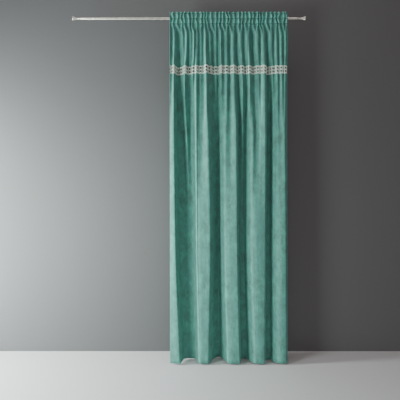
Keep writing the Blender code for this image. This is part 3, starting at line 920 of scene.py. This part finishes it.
def velvet_material():
    """Short-pile velvet: cloudy where the pile leans, with faint streaks down the cloth, and
    painted shade under the lace and along the cords.
    """
    material, nodes, links, shader = principled("velvet")
    clouds = noise(nodes, links, flat_place(nodes, links, *CLOUD_SCALE), detail=3.0, roughness=0.6)
    patches = noise(nodes, links, flat_place(nodes, links, *PATCH_SCALE), detail=2.0)
    streaks = noise(nodes, links, flat_place(nodes, links, *STREAK_SCALE), detail=2.0)
    hue = noise(nodes, links, flat_place(nodes, links, *HUE_SCALE), detail=2.0)
    pile = noise(nodes, links, flat_place(nodes, links, *PILE_SCALE), detail=1.0)
    weighted = calculated(nodes, links, "MULTIPLY", patches, PATCH_WEIGHT)
    lean = calculated(nodes, links, "ADD", clouds, weighted)
    shade = ranged(nodes, links, lean, *SHADE_RANGE, 0.0, 1.0)
    colour = blended(nodes, links, shade, VELVET_DARK, VELVET_LIGHT)
    blue_share = ranged(nodes, links, hue, *HUE_RANGE, 0.0, BLUE_MOST)
    colour = blended(nodes, links, blue_share, colour, VELVET_BLUE)
    streak_share = ranged(nodes, links, streaks, *STREAK_RANGE, 0.0, STREAK_MOST)
    colour = blended(nodes, links, streak_share, colour, VELVET_DARK)
    root_share = ranged(nodes, links, pile, *PILE_RANGE, 0.0, ROOT_MOST)
    colour = blended(nodes, links, root_share, colour, VELVET_ROOT)
    place = nodes.new("ShaderNodeSeparateXYZ")
    links.new(flat_place(nodes, links, 1.0, 1.0), place.inputs["Vector"])
    half_way = 0.5 * REVERSE_START
    front = ranged(nodes, links, place.outputs["X"], half_way, half_way + REVERSE_BLEND, 1.0, 0.0)
    # Painted shade: the velvet turned near black under the lace and in broken rows along the cords
    painted_shade = painted_shade_share(nodes, links, place, front, patches)
    colour = blended(nodes, links, painted_shade, colour, VELVET_PAINTED_SHADE)
    ground = blended(nodes, links, pile, VELVET_REVERSE, VELVET_ROOT)
    colour = blended(nodes, links, front, ground, colour)
    links.new(colour, shader.inputs["Base Color"])
    roughness = ranged(nodes, links, lean, *GLOSS_RANGE, *VELVET_ROUGHNESS)
    links.new(roughness, shader.inputs["Roughness"])
    soft = bumped(nodes, links, lean, CLOUD_RELIEF)
    lines = bumped(nodes, links, streaks, STREAK_RELIEF, soft)
    links.new(bumped(nodes, links, pile, PILE_RELIEF, lines), shader.inputs["Normal"])
    shader.inputs["Sheen Weight"].default_value = 0.30
    shader.inputs["Sheen Roughness"].default_value = 0.40
    shader.inputs["Sheen Tint"].default_value = (0.45, 1.0, 0.88, 1.0)
    shader.inputs["Specular IOR Level"].default_value = 0.15
    return material


def cotton_material():
    """Off-white embroidery cotton, tinted green as a painted reflection of the velvet, its stitches
    laid across each strand.
    """
    material, nodes, links, shader = principled("lace")
    place = flat_place(nodes, links, *STITCH_SCALE)
    stitches = waves(nodes, links, place, "X", STITCH_WANDER)
    fibres = noise(nodes, links, flat_place(nodes, links, *FIBRE_SCALE), detail=2.0)
    wear = noise(nodes, links, flat_place(nodes, links, *LACE_WEAR_SCALE), detail=2.0)
    colour = blended(nodes, links, stitches, COTTON_SHADE, COTTON_LIGHT)
    wear_share = ranged(nodes, links, wear, *WEAR_RANGE, 0.0, LACE_WEAR_MOST)
    colour = blended(nodes, links, wear_share, colour, COTTON_SHADE)
    links.new(colour, shader.inputs["Base Color"])
    ridges = bumped(nodes, links, stitches, STITCH_RELIEF)
    links.new(bumped(nodes, links, fibres, FIBRE_RELIEF, ridges), shader.inputs["Normal"])
    shader.inputs["Roughness"].default_value = 0.75
    shader.inputs["Sheen Weight"].default_value = 0.30
    return material


def webbing_material():
    """Off-white woven tape: threads along and across."""
    material, nodes, links, shader = principled("tape")
    threads = [waves(nodes, links, flat_place(nodes, links, *WEAVE_SCALE), across, THREAD_WANDER)
               for across in ("X", "Y")]
    weave = calculated(nodes, links, "MULTIPLY", *threads)
    wear = noise(nodes, links, flat_place(nodes, links, *TAPE_WEAR_SCALE), detail=3.0)
    colour = blended(nodes, links, weave, TAPE_SHADE, TAPE_LIGHT)
    wear_share = ranged(nodes, links, wear, *WEAR_RANGE, 0.0, TAPE_WEAR_MOST)
    colour = blended(nodes, links, wear_share, colour, TAPE_SHADE)
    links.new(colour, shader.inputs["Base Color"])
    links.new(bumped(nodes, links, weave, WEAVE_RELIEF), shader.inputs["Normal"])
    shader.inputs["Roughness"].default_value = 0.85
    return material


def metal_material():
    """Satin metal, brushed along the rod."""
    material, nodes, links, shader = principled("rod_metal")
    place = nodes.new("ShaderNodeTexCoord").outputs["Object"]
    grain_place = scaled_place(nodes, links, place, GRAIN_SCALE)
    grain = noise(nodes, links, grain_place, detail=3.0, roughness=0.6)
    haze = noise(nodes, links, scaled_place(nodes, links, place, HAZE_SCALE), detail=3.0)
    colour = blended(nodes, links, grain, METAL_SHADE, METAL_LIGHT)
    links.new(colour, shader.inputs["Base Color"])
    brushed = ranged(nodes, links, grain, *GRAIN_RANGE, *METAL_ROUGHNESS)
    hazy = ranged(nodes, links, haze, *HAZE_RANGE, *HAZE_ROUGHNESS)
    links.new(calculated(nodes, links, "ADD", brushed, hazy), shader.inputs["Roughness"])
    links.new(bumped(nodes, links, grain, GRAIN_RELIEF), shader.inputs["Normal"])
    shader.inputs["Metallic"].default_value = 1.0
    return material


def set_camera():
    """The camera at the photograph's place, level and straight on."""
    data = bpy.data.cameras.new("camera")
    data.sensor_width = SENSOR
    data.lens = SENSOR * CAMERA_DISTANCE / (IMAGE_WIDTH * METRES_PER_PIXEL)
    camera = placed("camera", data)
    across = (CURTAIN_CENTRE_PIXEL - 0.5 * IMAGE_WIDTH) * METRES_PER_PIXEL
    up = (HEM_PIXEL - 0.5 * IMAGE_WIDTH) * METRES_PER_PIXEL
    camera.location = (CURTAIN_CENTRE - across, FRONT_OF_HEM - CAMERA_DISTANCE, HEM + up)
    camera.rotation_euler = (math.radians(90.0), 0.0, 0.0)
    bpy.context.scene.camera = camera


def add_plane(name, corners, colour):
    """A matt plane of the surroundings, which is clear when it is seen from its back."""
    mesh = bpy.data.meshes.new(name)
    mesh.from_pydata(corners, [], [(0, 1, 2, 3)])
    plane = placed(name, mesh)
    material, nodes, links, shader = principled(name)
    shader.inputs["Base Color"].default_value = (*colour, 1.0)
    shader.inputs["Roughness"].default_value = STAGE_ROUGHNESS
    geometry = nodes.new("ShaderNodeNewGeometry")
    clear = nodes.new("ShaderNodeBsdfTransparent")
    mix = nodes.new("ShaderNodeMixShader")
    links.new(geometry.outputs["Backfacing"], mix.inputs[0])
    links.new(shader.outputs["BSDF"], mix.inputs[1])
    links.new(clear.outputs["BSDF"], mix.inputs[2])
    links.new(mix.outputs["Shader"], nodes["Material Output"].inputs["Surface"])
    mesh.materials.append(material)


def set_stage():
    """A pale ground just under the hem, and a grey backdrop behind."""
    floor_level = HEM - FLOOR_BELOW_HEM
    x = STAGE_HALF_WIDTH
    add_plane("floor", [(-x, -x, floor_level), (x, -x, floor_level), (x, x, floor_level),
                        (-x, x, floor_level)], FLOOR_GREY)
    add_plane("wall", [(-x, WALL_DISTANCE, floor_level), (x, WALL_DISTANCE, floor_level),
                       (x, WALL_DISTANCE, x), (-x, WALL_DISTANCE, x)], WALL_GREY)


def add_light(name, place, target, size, power, colour):
    """A soft rectangular light at place, facing target."""
    data = bpy.data.lights.new(name, "AREA")
    data.shape = "RECTANGLE"
    data.size, data.size_y = size
    data.energy = power
    data.color = colour
    light = placed(name, data)
    light.location = place
    light.rotation_euler = (Vector(target) - Vector(place)).to_track_quat("-Z", "Y").to_euler()


def set_lights():
    """Daylight from the left, weak light from the front and above, and pale surroundings."""
    world = bpy.data.worlds.new("studio")
    bpy.context.scene.world = world
    world.use_nodes = True
    background = world.node_tree.nodes["Background"]
    background.inputs["Color"].default_value = (*SURROUND_COLOUR, 1.0)
    background.inputs["Strength"].default_value = SURROUND_STRENGTH
    for light in LIGHTS:
        add_light(*light)


set_camera()
set_stage()
set_lights()
metal = metal_material()
for name in ("rod", "finial_right", "finial_left"):
    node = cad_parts[name]
    for rod_slot in node.material_slots:
        rod_slot.material = metal
velvet = velvet_material()
cotton = cotton_material()
webbing = webbing_material()
build_panel(velvet)
build_tape(webbing)
build_lace(cotton)
